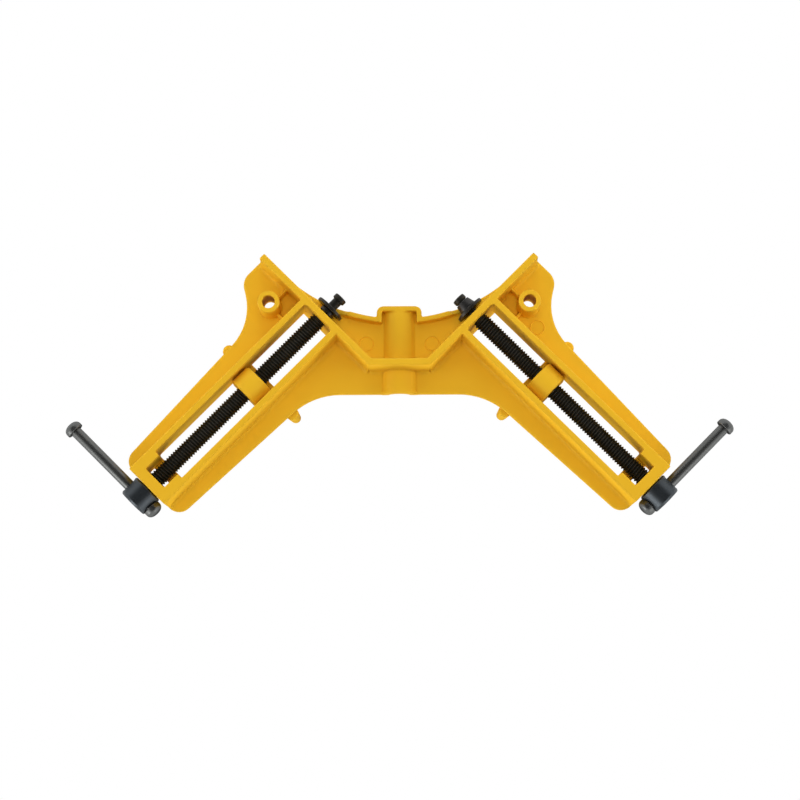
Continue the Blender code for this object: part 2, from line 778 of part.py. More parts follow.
def spindle(prefix, frame):
    """Build a spindle: end button, neck, journal, screw and the end that the hub is fixed to."""
    button_end = -FENCE_HALF - BUTTON_REACH[prefix]
    button_start = button_end + BUTTON_LENGTH
    shoulder = FENCE_HALF + RUNNING_GAP
    journal_end = -FENCE_RIM_HALF
    end = HUB_U + HUB_LENGTH - HUB_END_WALL - CLEARANCE
    radius = SPINDLE_DIAMETER / 2
    profile = [
        (button_end, 0),
        (button_end, BUTTON_DIAMETER / 2 - EDGE_BREAK),
        (button_end + EDGE_BREAK, BUTTON_DIAMETER / 2),
        (button_start, BUTTON_DIAMETER / 2),
        (button_start, NECK_DIAMETER / 2),
        (journal_end, NECK_DIAMETER / 2),
        (journal_end, JOURNAL_DIAMETER / 2),
        (shoulder, JOURNAL_DIAMETER / 2),
        (shoulder + SPINDLE_CHAMFER, radius),
        (end - SPINDLE_CHAMFER, radius),
        (end, radius - SPINDLE_CHAMFER),
        (end, 0),
    ]
    item = turned(f"{prefix}_spindle", profile)
    cut(item, bar_hole())
    return dress(item, "black_oxide", frame)


def bar_hole():
    """Return the cutter of the cross hole that the sliding bar runs in."""
    reach = HUB_DIAMETER
    hole = rod("bar_hole", -reach, reach, BAR_DIAMETER + 2 * CLEARANCE, 28)
    turn = Matrix.Rotation(math.pi / 2, 4, "Z")
    hole.data.transform(Matrix.Translation((BAR_U * MM, 0, 0)) @ turn)
    return hole


def ring(name, start, end, diameters, frame, finish_name):
    """Build a ring on a spindle's neck. diameters are those at its start and at its end."""
    first = diameters[0] / 2
    last = diameters[1] / 2
    edge = EDGE_BREAK / 2
    profile = [
        (start, 0),
        (start, first - edge),
        (start + edge, first),
        (end - edge, last),
        (end, last - edge),
        (end, 0),
    ]
    item = cut(turned(name, profile), bore(start, end, NECK_DIAMETER + 2 * CLEARANCE))
    return dress(item, finish_name, frame)


def retainers(prefix, frame):
    """Build the washer and the collar that hold a spindle in the fence.

    The right spindle has its plain collar inside the washer, and the left one has a tapered collar
    outside it.
    """
    face = -FENCE_HALF - CLEARANCE
    washer_sizes = (WASHER_DIAMETER, WASHER_DIAMETER)
    if prefix == "right":
        collar_end = face - PLAIN_COLLAR_LENGTH
        collar_sizes = (PLAIN_COLLAR_DIAMETER, PLAIN_COLLAR_DIAMETER)
        washer_start = collar_end - CLEARANCE
        collar_range = (collar_end, face)
    else:
        washer_start = face - WASHER_STANDOFF
        collar_start = washer_start - WASHER_THICKNESS - CLEARANCE
        collar_range = (collar_start - TAPER_COLLAR_LENGTH, collar_start)
        collar_sizes = (TAPER_COLLAR_END_DIAMETER, TAPER_COLLAR_DIAMETER)
    washer_range = (washer_start - WASHER_THICKNESS, washer_start)
    ring(f"{prefix}_retaining_washer", *washer_range, washer_sizes, frame, "black_oxide")
    ring(f"{prefix}_retaining_collar", *collar_range, collar_sizes, frame, "dark_cast_steel")


def spot_face(sign):
    """Return the cutter of the flat seat that a knob meets on a hub's side."""
    seat = rod("spot_face", SPOT_FACE, HUB_DIAMETER, KNOB_DIAMETER + 2 * CLEARANCE, 28)
    turn = Matrix.Rotation(sign * math.pi / 2, 4, "Z")
    seat.data.transform(Matrix.Translation((BAR_U * MM, 0, 0)) @ turn)
    return seat


def handle_hub(name, frame):
    """Build a hub: a short round head, bored for the spindle and cross-drilled for the bar."""
    radius = HUB_DIAMETER / 2
    end = HUB_U + HUB_LENGTH
    edge = HUB_EDGE_RADIUS
    profile = [(HUB_U, 0)]
    profile += quarter(HUB_U + edge, radius - edge, edge, 180, 90)
    profile += quarter(end - edge, radius - edge, edge, 90, 0)
    profile.append((end, 0))
    hub = turned(name, profile)
    blind_end = end - HUB_END_WALL
    blind = rod("bore", HUB_U - BOOLEAN_OVERSHOOT, blind_end, SPINDLE_DIAMETER + 2 * CLEARANCE)
    cut(hub, spot_face(1), spot_face(-1), blind, bar_hole())
    return dress(hub, "dark_cast_steel", frame)


def bar_frame(prefix, frame):
    """Add the empty that carries a sliding bar: X along the bar, towards its long end."""
    holder = bpy.data.objects.new(f"{prefix}_bar_frame", None)
    bpy.context.scene.collection.objects.link(holder)
    holder.parent = frame
    holder.location = (BAR_U * MM, 0, 0)
    holder.rotation_euler = (0, 0, SIDES[prefix] * math.pi / 2)
    return holder


def sliding_bar(prefix, frame):
    """Build a sliding bar with a knob on each end, slid to its stop on the short side."""
    holder = bar_frame(prefix, frame)
    near_end = -(KNOB_SEAT + KNOB_LENGTH)
    far_start = KNOB_SEAT + BAR_FREE_TRAVEL
    far_end = far_start + KNOB_LENGTH
    start = near_end + KNOB_END_WALL + CLEARANCE
    end = far_end - KNOB_END_WALL - CLEARANCE
    radius = BAR_DIAMETER / 2
    edge = EDGE_BREAK / 2
    profile = [
        (start, 0),
        (start, radius - edge),
        (start + edge, radius),
        (end - edge, radius),
        (end, radius - edge),
        (end, 0),
    ]
    dress(turned(f"{prefix}_tommy_bar", profile, 28), "grey_bar_steel", holder)
    knob(f"{prefix}_near_knob", near_end, -KNOB_SEAT, near_end + KNOB_END_WALL, holder)
    knob(f"{prefix}_far_knob", far_start, far_end, far_end - KNOB_END_WALL, holder)


def knob(name, start, end, socket, holder):
    """Build a round-edged cap on a bar's end. Its socket goes from its inner face to that place."""
    radius = KNOB_DIAMETER / 2
    edge = KNOB_EDGE_RADIUS
    profile = [(start, 0)]
    profile += quarter(start + edge, radius - edge, edge, 180, 90)
    profile += quarter(end - edge, radius - edge, edge, 90, 0)
    profile.append((end, 0))
    item = turned(name, profile, 28)
    low = min(socket, 0)
    high = max(socket, 0)
    cut(item, rod("socket", low, high, BAR_DIAMETER + 2 * CLEARANCE, 28))
    return dress(item, "grey_bar_steel", holder)


def arm_frame(prefix):
    """Add the empty on an arm's spindle axis that carries the arm's moving pieces."""
    frame = bpy.data.objects.new(f"{prefix}_spindle_axis", None)
    bpy.context.scene.collection.objects.link(frame)
    frame.matrix_world = arm_matrix(SIDES[prefix])
    return frame


def centre_on_base():
    """Move the clamp so that the origin lies below the middle of its whole box, at rib rim height."""
    bpy.context.view_layer.update()
    points = [
        item.matrix_world @ vertex.co
        for item in bpy.data.objects
        if item.type == "MESH"
        for vertex in item.data.vertices
    ]
    lows = [min(point[axis] for point in points) for axis in range(3)]
    highs = [max(point[axis] for point in points) for axis in range(3)]
    shift = Matrix.Translation((-(lows[0] + highs[0]) / 2, -(lows[1] + highs[1]) / 2, -lows[2]))
    for item in bpy.data.objects:
        if item.type == "MESH" and item.parent is None:
            item.data.transform(shift)
        elif item.parent is None:
            item.matrix_world = shift @ item.matrix_world


def main():
    """Build the whole clamp."""
    clear_scene()
    body_casting()
    for prefix in SIDES:
        frame = arm_frame(prefix)
        moving_jaw(prefix, frame)
        spindle(prefix, frame)
        retainers(prefix, frame)
        handle_hub(f"{prefix}_handle_hub", frame)
        sliding_bar(prefix, frame)
    centre_on_base()
    bpy.context.view_layer.update()


main()
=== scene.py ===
"""Looks of the two-screw corner clamp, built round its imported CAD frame.

The clamp stands on its ribs with the jaws up, and the camera looks up at its ribbed underside, as
in the reference view. Each spindle and each sliding bar has its own frame: X runs along it and Z is
up. Lengths are in metres, apart from the camera's lens and sensor.
"""

import json
import logging
import math
from dataclasses import dataclass, field
from enum import Enum

import bmesh
import bpy
from mathutils import Matrix, Vector

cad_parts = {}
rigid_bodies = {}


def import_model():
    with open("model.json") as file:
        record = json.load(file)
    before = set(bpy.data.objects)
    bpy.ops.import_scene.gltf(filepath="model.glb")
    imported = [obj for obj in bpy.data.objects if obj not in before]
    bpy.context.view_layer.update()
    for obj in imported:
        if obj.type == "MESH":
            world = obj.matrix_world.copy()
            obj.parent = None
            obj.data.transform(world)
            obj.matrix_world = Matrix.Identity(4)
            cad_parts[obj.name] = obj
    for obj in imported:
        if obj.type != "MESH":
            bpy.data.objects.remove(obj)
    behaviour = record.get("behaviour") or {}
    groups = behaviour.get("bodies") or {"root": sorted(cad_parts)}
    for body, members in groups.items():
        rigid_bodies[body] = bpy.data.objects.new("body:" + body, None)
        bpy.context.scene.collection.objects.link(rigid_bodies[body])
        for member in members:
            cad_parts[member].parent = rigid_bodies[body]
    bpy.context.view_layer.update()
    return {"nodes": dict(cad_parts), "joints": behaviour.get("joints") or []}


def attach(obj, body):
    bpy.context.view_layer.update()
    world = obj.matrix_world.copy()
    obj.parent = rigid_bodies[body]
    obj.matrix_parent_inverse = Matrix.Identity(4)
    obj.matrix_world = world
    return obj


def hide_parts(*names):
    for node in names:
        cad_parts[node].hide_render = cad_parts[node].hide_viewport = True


LOG = logging.getLogger("corner_clamp")
MM = 0.001
MERGE_DISTANCE = 1e-6
SHARP_ANGLE = math.radians(40)
SMOOTH_FACTOR = 0.5
NOISE_DETAIL = 4.0
NOISE_MEAN = 0.5
WHITE = (1.0, 1.0, 1.0, 1.0)

Colour = tuple[float, float, float]
Profile = list[tuple[float, float]]
Nodes = dict[str, bpy.types.Object]
Tree = bpy.types.NodeTree
Socket = bpy.types.NodeSocket


class Side(Enum):
    """The two arms, named as their CAD nodes are."""

    RIGHT = "right"
    LEFT = "left"


class Slot(Enum):
    """The record's material slots."""

    ENAMEL = "yellow_enamel"
    BLACK_OXIDE = "black_oxide"
    DARK_STEEL = "dark_cast_steel"
    BAR_STEEL = "grey_bar_steel"


class Finish(Enum):
    """The finishes of the clamp."""

    ENAMEL = "yellow_enamel_coat"
    SCREW = "black_oxide_film"
    WASHER = "black_washer_film"
    COLLAR = "dark_collar_skin"
    HUB = "dark_hub_skin"
    BAR = "grey_bar_skin"


def wire(tree: Tree, node: bpy.types.Node, inputs: dict[str | int, object]) -> bpy.types.Node:
    """Set a shader node's inputs.

    Args:
        tree: The nodes that it belongs to.
        node: The node.
        inputs: Each input's value, or the output that feeds it.

    Returns:
        The same node.
    """
    for key, value in inputs.items():
        if isinstance(value, Socket):
            tree.links.new(value, node.inputs[key])
        else:
            node.inputs[key].default_value = value
    return node


def combine(tree: Tree, operation: str, first: Socket, second: Socket) -> Socket:
    """Add the math node that combines two values from 0 to 1.

    Args:
        tree: The nodes that it joins.
        operation: What it does with them.
        first: The first value.
        second: The second value.

    Returns:
        The result, from 0 to 1.
    """
    node = tree.nodes.new("ShaderNodeMath")
    node.operation = operation
    node.use_clamp = True
    return wire(tree, node, {0: first, 1: second}).outputs["Value"]


def blend(tree: Tree, share: Socket, low: Colour | Socket, high: Colour) -> Socket:
    """Mix two colours by a value.

    Args:
        tree: The nodes that the mix joins.
        share: The value, from 0 to 1.
        low: The colour at 0, or the output that gives it.
        high: The colour at 1.

    Returns:
        The mixed colour.
    """
    node = tree.nodes.new("ShaderNodeMix")
    node.data_type = "RGBA"
    below = low if isinstance(low, Socket) else (*low, 1.0)
    return wire(tree, node, {"Factor": share, "A": below, "B": (*high, 1.0)}).outputs["Result"]


def noise(tree: Tree, place: Socket, scale: float) -> Socket:
    """Add a noise.

    Args:
        tree: The nodes that it joins.
        place: The coordinates that it reads.
        scale: How many of its grains go into a metre.

    Returns:
        The noise's value, from 0 to 1.
    """
    node = tree.nodes.new("ShaderNodeTexNoise")
    wire(tree, node, {"Scale": scale, "Detail": NOISE_DETAIL, "Vector": place})
    return node.outputs["Fac"]


def pointed(tree: Tree, limits: tuple[float, float], top: float = 1.0) -> Socket:
    """Read how far the surface's pointiness has come from one limit to the other.

    Args:
        tree: The nodes that the reading joins.
        limits: The pointiness where it starts and where it is complete.
        top: The value where it is complete.

    Returns:
        The value, from 0 to the top value.
    """
    shape = tree.nodes.new("ShaderNodeNewGeometry")
    inputs = {
        "Value": shape.outputs["Pointiness"],
        "From Min": limits[0],
        "From Max": limits[1],
        "To Max": top,
    }
    return wire(tree, tree.nodes.new("ShaderNodeMapRange"), inputs).outputs["Result"]


@dataclass(frozen=True)
class Surface:
    """A metal or painted finish with fine relief, lighter edges and darker inner corners.

    The lighter edges are wear on the metal parts and a painted highlight on the enamel; the darker
    inner corners are painted shade.

    Attributes:
        slot: The record's material slot that it belongs to; not used.
        colour: The main colour, linear.
        shade: The second colour that a slow noise mixes in.
        edge: The lighter colour of the sharp edges: wear on the metal parts, a painted highlight on
            the enamel.
        metallic: How metallic the shader is.
        roughness: The lowest and highest roughness that the noise gives.
        patches: The slow noise's scale, in patches per metre.
        grains: The relief noise's scale, in grains per metre.
        depth: The relief's depth in metres.
        specular: The shader's specular level.
        wear_and_highlight: How much of the edge colour shows on the sharpest edges, as wear on the
            metal parts and as painted highlight on the enamel.
        wear_and_highlight_range: Between which pointiness values the edge wear and painted
            highlight rise.
        corner: The darker colour painted into the inner corners as shade, if any is.
        painted_corner_shade_range: Between which pointiness values the painted corner shade fades
            in.
    """

    slot: Slot
    colour: Colour
    shade: Colour
    edge: Colour
    metallic: float
    roughness: tuple[float, float]
    patches: float
    grains: float
    depth: float
    specular: float = 0.5
    wear_and_highlight: float = 0.6
    wear_and_highlight_range: tuple[float, float] = (0.51, 0.58)
    corner: Colour | None = None
    painted_corner_shade_range: tuple[float, float] = (0.495, 0.46)

    def build(self, name: str) -> bpy.types.Material:
        """Build the node material.

        Args:
            name: The material's name.

        Returns:
            The new material.
        """
        material = bpy.data.materials.new(name)
        material.use_nodes = True
        tree = material.node_tree
        place = tree.nodes.new("ShaderNodeTexCoord").outputs["Object"]
        patches = noise(tree, place, self.patches)
        low, high = self.roughness
        polish = tree.nodes.new("ShaderNodeMapRange")
        wire(tree, polish, {"Value": patches, "To Min": low, "To Max": high})
        relief = tree.nodes.new("ShaderNodeBump")
        wire(tree, relief, {"Distance": self.depth, "Height": noise(tree, place, self.grains)})
        inputs = {
            "Base Color": self.paint(tree, patches),
            "Metallic": self.metallic,
            "Roughness": polish.outputs["Result"],
            "Specular IOR Level": self.specular,
            "Normal": relief.outputs["Normal"],
        }
        wire(tree, tree.nodes["Principled BSDF"], inputs)
        return material

    def paint(self, tree: Tree, patches: Socket) -> Socket:
        """Lay the painted shade of the inner corners and the lighter edges (wear on the metal
        parts, a painted highlight on the enamel) over the two main colours.

        Args:
            tree: The material's nodes.
            patches: The slow noise, which mixes the main colours and makes the lighter edges
                uneven.

        Returns:
            The colour.
        """
        colour = blend(tree, patches, self.colour, self.shade)
        # Painted shade: a darker colour in the inner corners, found by their pointiness.
        if self.corner:
            colour = blend(tree, pointed(tree, self.painted_corner_shade_range), colour, self.corner)
        # Lighter sharp edges: wear on the metal parts, a painted highlight on the enamel.
        wear_and_highlight_mask = pointed(tree, self.wear_and_highlight_range, self.wear_and_highlight / NOISE_MEAN)
        return blend(tree, combine(tree, "MULTIPLY", wear_and_highlight_mask, patches), colour, self.edge)


SURFACES: dict[Finish, Surface] = {
    Finish.ENAMEL: Surface(
        slot=Slot.ENAMEL,
        colour=(0.85, 0.49, 0.024),
        shade=(0.80, 0.445, 0.018),
        # Painted highlight: a lighter yellow along the enamel's sharp edges.
        edge=(1.0, 0.62, 0.05),
        metallic=0.0,
        roughness=(0.46, 0.56),
        patches=60,
        grains=900,
        depth=3e-5,
        specular=0.14,
        wear_and_highlight=0.2,
        wear_and_highlight_range=(0.51, 0.57),
        # Painted shade: a darker, redder yellow in the inner corners.
        corner=(0.62, 0.28, 0.002),
    ),
    Finish.SCREW: Surface(
        slot=Slot.BLACK_OXIDE,
        colour=(0.010, 0.009, 0.006),
        shade=(0.020, 0.018, 0.013),
        edge=(0.045, 0.042, 0.034),
        metallic=0.3,
        roughness=(0.42, 0.55),
        patches=200,
        grains=2500,
        depth=2e-5,
        specular=0.35,
    ),
    Finish.WASHER: Surface(
        slot=Slot.BLACK_OXIDE,
        colour=(0.022, 0.020, 0.017),
        shade=(0.035, 0.032, 0.028),
        edge=(0.09, 0.085, 0.075),
        metallic=0.6,
        roughness=(0.32, 0.45),
        patches=250,
        grains=2000,
        depth=2e-5,
    ),
    Finish.COLLAR: Surface(
        slot=Slot.DARK_STEEL,
        colour=(0.050, 0.047, 0.045),
        shade=(0.034, 0.032, 0.031),
        edge=(0.13, 0.13, 0.125),
        metallic=0.75,
        roughness=(0.34, 0.45),
        patches=250,
        grains=1800,
        depth=2e-5,
    ),
    Finish.HUB: Surface(
        slot=Slot.DARK_STEEL,
        colour=(0.070, 0.080, 0.088),
        shade=(0.052, 0.060, 0.067),
        edge=(0.13, 0.14, 0.15),
        metallic=0.8,
        roughness=(0.30, 0.40),
        patches=250,
        grains=1800,
        depth=3e-5,
    ),
    Finish.BAR: Surface(
        slot=Slot.BAR_STEEL,
        colour=(0.155, 0.160, 0.156),
        shade=(0.105, 0.109, 0.106),
        edge=(0.22, 0.22, 0.215),
        metallic=0.9,
        roughness=(0.32, 0.42),
        patches=200,
        grains=1500,
        depth=2e-5,
    ),
}


@dataclass
class Wardrobe:
    """Builds each finish's material once and puts it on pieces."""

    made: dict[Finish, bpy.types.Material] = field(default_factory=dict)

    def dress(self, item: bpy.types.Object, finish: Finish) -> None:
        """Give a piece one finish.

        Args:
            item: The piece.
            finish: The finish that it gets.
        """
        if finish not in self.made:
            self.made[finish] = SURFACES[finish].build(finish.value)
        item.data.materials.clear()
        item.data.materials.append(self.made[finish])

    def seat(self, item: bpy.types.Object, finish: Finish, body: str, node: str) -> None:
        """Dress a piece that stands for a CAD node, and let it move with that node's body.

        Args:
            item: The piece.
            finish: The finish that it gets.
            body: The CAD body that it moves with.
            node: The CAD node that it stands for.
        """
        self.dress(item, finish)
        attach(item, body)
        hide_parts(node)


@dataclass(frozen=True)
class Axis:
    """An axis that a piece turns or slides on, or is round about, with its own frame.

    Attributes:
        place: The matrix from its frame, which has X along it, to the world.
    """

    place: Matrix

    @classmethod
    def along(cls, origin: Vector, direction: Vector) -> "Axis":
        """Make a level axis from a point on it and its direction, with Z up in its frame."""
        ahead = direction.normalized()
        across = Vector((0, 0, 1)).cross(ahead)
        columns = Matrix((ahead, across, (0, 0, 1))).transposed()
        return cls(Matrix.Translation(origin) @ columns.to_4x4())

    def extent(self, node: bpy.types.Object, axis: int = 0) -> tuple[float, float]:
        """Measure a CAD node along one of this frame's axes.

        Args:
            node: The CAD node's object.
            axis: Which of the axes to measure along.

        Returns:
            The lowest and the highest place.
        """
        back = self.place.inverted()
        places = [(back @ vertex.co)[axis] for vertex in node.data.vertices]
        return min(places), max(places)

    def radius(self, node: bpy.types.Object) -> float:
        """Return how far a CAD node reaches above this axis, a round node's largest radius."""
        return self.extent(node, 2)[1]


@dataclass(frozen=True)
class Arm:
    """An arm with the axes of its spindle and of its sliding bar.

    Attributes:
        side: Which arm it is.
        spindle: The spindle's axis, which runs out from the fence.
        bar: The axis that the bar slides along, from the spindle's axis.
    """

    side: Side
    spindle: Axis
    bar: Axis

    @classmethod
    def from_joints(cls, side: Side, joints: list[dict], nodes: Nodes) -> "Arm":
        """Find an arm's axes from the record's joints.

        Args:
            side: Which arm it is.
            joints: The record's joints.
            nodes: The CAD nodes.

        Returns:
            The arm.
        """
        rows = {item["name"]: item for item in joints}
        turn = rows[f"{side.value}_spindle_turn"]
        spindle = Axis.along(Vector(turn["pos_m"]), Vector(turn["axis"]))
        low, high = spindle.extent(nodes[f"{side.value}_tommy_bar"])
        slide = rows[f"{side.value}_bar_slide"]
        middle = spindle.place @ Vector(((low + high) / 2, 0, 0))
        return cls(side, spindle, Axis.along(middle, Vector(slide["axis"])))

    def name(self, piece: str) -> str:
        """Return the full name of one of this arm's nodes, bodies or pieces."""
        return f"{self.side.value}_{piece}"


def skin(name: str, rings: list[Profile], axis: Axis, closed: bool = False) -> bpy.types.Object:
    """Build a round body from rings.

    Args:
        name: The piece's name.
        rings: Each ring's (place along X, radius) pairs, one for each segment.
        axis: The axis that it is round about.
        closed: Whether the last ring joins the first one, as in a washer.

    Returns:
        The new piece.
    """
    maker = bmesh.new()
    segments = len(rings[0])
    rows = []
    for ring in rings:
        row = []
        for index, (along, radius) in enumerate(ring):
            angle = math.tau * index / segments
            point = (along, radius * math.cos(angle), radius * math.sin(angle))
            row.append(maker.verts.new(point))
        rows.append(row)
    pairs = list(zip(rows, rows[1:]))
    if closed:
        pairs.append((rows[-1], rows[0]))
    for near, far in pairs:
        for index in range(segments):
            after = (index + 1) % segments
            maker.faces.new((near[index], near[after], far[after], far[index]))
    bmesh.ops.remove_doubles(maker, verts=maker.verts[:], dist=MERGE_DISTANCE)
    bmesh.ops.recalc_face_normals(maker, faces=maker.faces[:])
    mesh = bpy.data.meshes.new(name)
    maker.to_mesh(mesh)
    maker.free()
    item = bpy.data.objects.new(name, mesh)
    bpy.context.scene.collection.objects.link(item)
    item.matrix_world = axis.place
    mesh.shade_smooth()
    mesh.set_sharp_from_angle(angle=SHARP_ANGLE)
    return item


def turned(profile: Profile, segments: int = 72) -> list[Profile]:
    """Turn a profile of (place, radius) points into plain rings."""
    return [[point] * segments for point in profile]


def quarter(steps: int) -> list[float]:
    """Return the angles of a quarter turn in equal steps, in radians."""
    return [math.radians(90 * step / steps) for step in range(steps + 1)]


def arc(
    centre: tuple[float, float], radius: float, start: float, end: float, steps: int = 5
) -> Profile:
    """Return profile points of an arc.

    Args:
        centre: The arc's centre as (place, radius).
        radius: The arc's radius.
        start: The first angle in degrees from the X axis.
        end: The last angle in degrees.
        steps: How many steps the arc has.

    Returns:
        The points.
    """
    angles = [math.radians(start + (end - start) * step / steps) for step in range(steps + 1)]
    return [(centre[0] + radius * math.cos(a), centre[1] + radius * math.sin(a)) for a in angles]


def barrel(low: float, high: float, radius: float, edge: float) -> Profile:
    """Return the outer profile of a cylinder with rounded edges, from low to high."""
    inner = radius - edge
    return arc((low + edge, inner), edge, 180, 90) + arc((high - edge, inner), edge, 90, 0)


def carve(item: bpy.types.Object, tools: list[bpy.types.Object]) -> None:
    """Cut tools out of a piece and delete them.

    Args:
        item: The piece.
        tools: The cutters.
    """
    for tool in tools:
        cutting = item.modifiers.new("cut", "BOOLEAN")
        cutting.operation = "DIFFERENCE"
        cutting.solver = "EXACT"
        cutting.object = tool
        bpy.context.view_layer.update()
        depsgraph = bpy.context.evaluated_depsgraph_get()
        mesh = bpy.data.meshes.new_from_object(item.evaluated_get(depsgraph))
        item.modifiers.clear()
        item.data = mesh
        bpy.data.objects.remove(tool, do_unlink=True)


def soften(item: bpy.types.Object, grain: float, passes: int) -> None:
    """Round a piece's edges and inner corners as in a casting.

    Args:
        item: The piece.
        grain: The voxel size of its new skin.
        passes: How many smoothing passes it gets.
    """
    remesh = item.modifiers.new("cast_skin", "REMESH")
    remesh.mode = "VOXEL"
    remesh.voxel_size = grain
    remesh.use_smooth_shade = True
    smooth = item.modifiers.new("cast_edges", "SMOOTH")
    smooth.factor = SMOOTH_FACTOR
    smooth.iterations = passes


@dataclass
class Casting:
    """A painted casting whose CAD solid is softened at its edges.

    Attributes:
        node: The CAD node's name.
        grain: The voxel size of the softened skin.
        passes: How many smoothing passes it gets.
    """

    node: str
    grain: float = 0.4 * MM
    passes: int = 12

    def build(self, nodes: Nodes, wardrobe: Wardrobe) -> bpy.types.Object:
        """Soften the CAD node's edges and paint it.

        Args:
            nodes: The CAD nodes.
            wardrobe: The finishes.

        Returns:
            The dressed node.
        """
        item = nodes[self.node]
        soften(item, self.grain, self.passes)
        wardrobe.dress(item, Finish.ENAMEL)
        return item


@dataclass
class PinMark:
    """The fine raised ring that a moulding pin leaves below the deck.

    Attributes:
        name: The piece's name.
        place: Its place in front of the fence's virtual corner, as X and Y.
        radius: Its radius.
        width: How wide its foot is.
        height: How far it stands proud of the deck.
        root: How far it reaches into the deck.
        deck: The height of the deck's underside.
        segments: How many segments it has round.
    """

    name: str
    place: tuple[float, float]
    radius: float = 3.8 * MM
    width: float = 0.6 * MM
    height: float = 0.4 * MM
    root: float = 0.2 * MM
    deck: float = 17.7 * MM
    segments: int = 64

    def build(self, corner: float, wardrobe: Wardrobe) -> bpy.types.Object:
        """Build the ring.

        Args:
            corner: The Y of the fence's virtual corner.
            wardrobe: The finishes.

        Returns:
            The new piece.
        """
        centre = Matrix.Translation((self.place[0], corner + self.place[1], self.deck))
        down = Axis(centre @ Matrix.Rotation(math.pi / 2, 4, "Y"))
        half = self.width / 2
        profile = [
            (-self.root, self.radius - half),
            (self.height, self.radius),
            (-self.root, self.radius + half),
        ]
        item = skin(self.name, turned(profile, self.segments), down, closed=True)
        wardrobe.dress(item, Finish.ENAMEL)
        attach(item, "body")
        return item


MARKS: tuple[PinMark, ...] = (
    PinMark("right_pin_mark", (17.7 * MM, 28.3 * MM)),
    PinMark("left_pin_mark", (-17.7 * MM, 28.3 * MM)),
    PinMark("ear_pin_mark", (-74.8 * MM, 36.9 * MM)),
)


@dataclass
class Spindle:
    """A spindle with its left-hand thread, end button and plain neck.

    Attributes:
        pitch: The thread's pitch.
        thread_depth: How deep the thread is cut.
        button_length: The end button's length.
        button_radius: The end button's radius.
        neck_radius: The radius of the neck between button and journal.
        journal_radius: The radius of the journal that runs in the fence.
        journal_reach: How far the journal reaches behind the fence's centre plane.
        shoulder: Where the thread starts in front of the fence.
        edge: The radius of the button's edges.
        steps: How many rings the thread has along one pitch.
        segments: How many segments it has round.
    """

    pitch: float = 1.5875 * MM
    thread_depth: float = 0.95 * MM
    button_length: float = 2.8 * MM
    button_radius: float = 3.6 * MM
    neck_radius: float = 2.65 * MM
    journal_radius: float = 3.9 * MM
    journal_reach: float = 1.9 * MM
    shoulder: float = 3.0 * MM
    edge: float = 0.6 * MM
    steps: int = 10
    segments: int = 40

    def thread_rows(self, start: float, end: float, radius: float) -> list[Profile]:
        """Return the threaded rings, which wind to the left.

        Args:
            start: Where the thread starts.
            end: Where it ends.
            radius: The thread's outer radius.

        Returns:
            The rings.
        """
        root = radius - self.thread_depth
        count = math.ceil((end - start) / self.pitch * self.steps)
        rows = []
        for index in range(count + 1):
            along = start + (end - start) * index / count
            room = min(along - start, end - along)  # The thread runs out at both ends.
            ring = []
            for segment in range(self.segments):
                turn = (along / self.pitch - segment / self.segments) % 1
                height = self.thread_depth * (1 - abs(2 * turn - 1))
                ring.append((along, root + min(height, room)))
            rows.append(ring)
        return rows

    def build(self, arm: Arm, nodes: Nodes, wardrobe: Wardrobe) -> bpy.types.Object:
        """Build the spindle in place of its CAD node.

        Args:
            arm: The arm that it belongs to.
            nodes: The CAD nodes.
            wardrobe: The finishes.

        Returns:
            The new piece.
        """
        node = arm.name("spindle")
        low, high = arm.spindle.extent(nodes[node])
        radius = arm.spindle.radius(nodes[node])
        button_end = low + self.button_length
        profile = [(low, 0), *barrel(low, button_end, self.button_radius, self.edge)]
        profile += [
            (button_end, self.neck_radius),
            (-self.journal_reach, self.neck_radius),
            (-self.journal_reach, self.journal_radius),
            (self.shoulder, self.journal_radius),
        ]
        rings = turned(profile, self.segments)
        rings += self.thread_rows(self.shoulder, high, radius)
        rings += turned([(high, 0)], self.segments)
        item = skin(arm.name("spindle_screw"), rings, arm.spindle)
        wardrobe.seat(item, Finish.SCREW, arm.name("screw"), node)
        return item


@dataclass
class Retainer:
    """The washer and the collar that hold a spindle behind the fence.

    Attributes:
        bore: The radius of their bore.
        edge: The radius of their edges.
    """

    bore: float = 2.95 * MM
    edge: float = 0.35 * MM

    def ring(self, arm: Arm, node: bpy.types.Object, name: str) -> bpy.types.Object:
        """Build one ring in the place of a CAD node.

        Args:
            arm: The arm that it belongs to.
            node: The CAD node.
            name: The new piece's name.

        Returns:
            The new piece.
        """
        low, high = arm.spindle.extent(node)
        back = arm.spindle.place.inverted()
        places = [back @ vertex.co for vertex in node.data.vertices]
        middle = (low + high) / 2
        radii = [
            max(math.hypot(place.y, place.z) for place in places if (place.x < middle) == near)
            for near in (True, False)
        ]
        profile = [(low, self.bore)]
        profile += arc((low + self.edge, radii[0] - self.edge), self.edge, 180, 90)
        profile += arc((high - self.edge, radii[1] - self.edge), self.edge, 90, 0)
        profile.append((high, self.bore))
        return skin(name, turned(profile), arm.spindle, closed=True)

    def build(self, arm: Arm, nodes: Nodes, wardrobe: Wardrobe) -> list[bpy.types.Object]:
        """Build both rings in place of their CAD nodes.

        Args:
            arm: The arm that they belong to.
            nodes: The CAD nodes.
            wardrobe: The finishes.

        Returns:
            The new pieces.
        """
        made = []
        for kind, finish in (("washer", Finish.WASHER), ("collar", Finish.COLLAR)):
            node = arm.name(f"retaining_{kind}")
            item = self.ring(arm, nodes[node], arm.name(f"turned_{kind}"))
            wardrobe.seat(item, finish, arm.name("screw"), node)
            made.append(item)
        return made


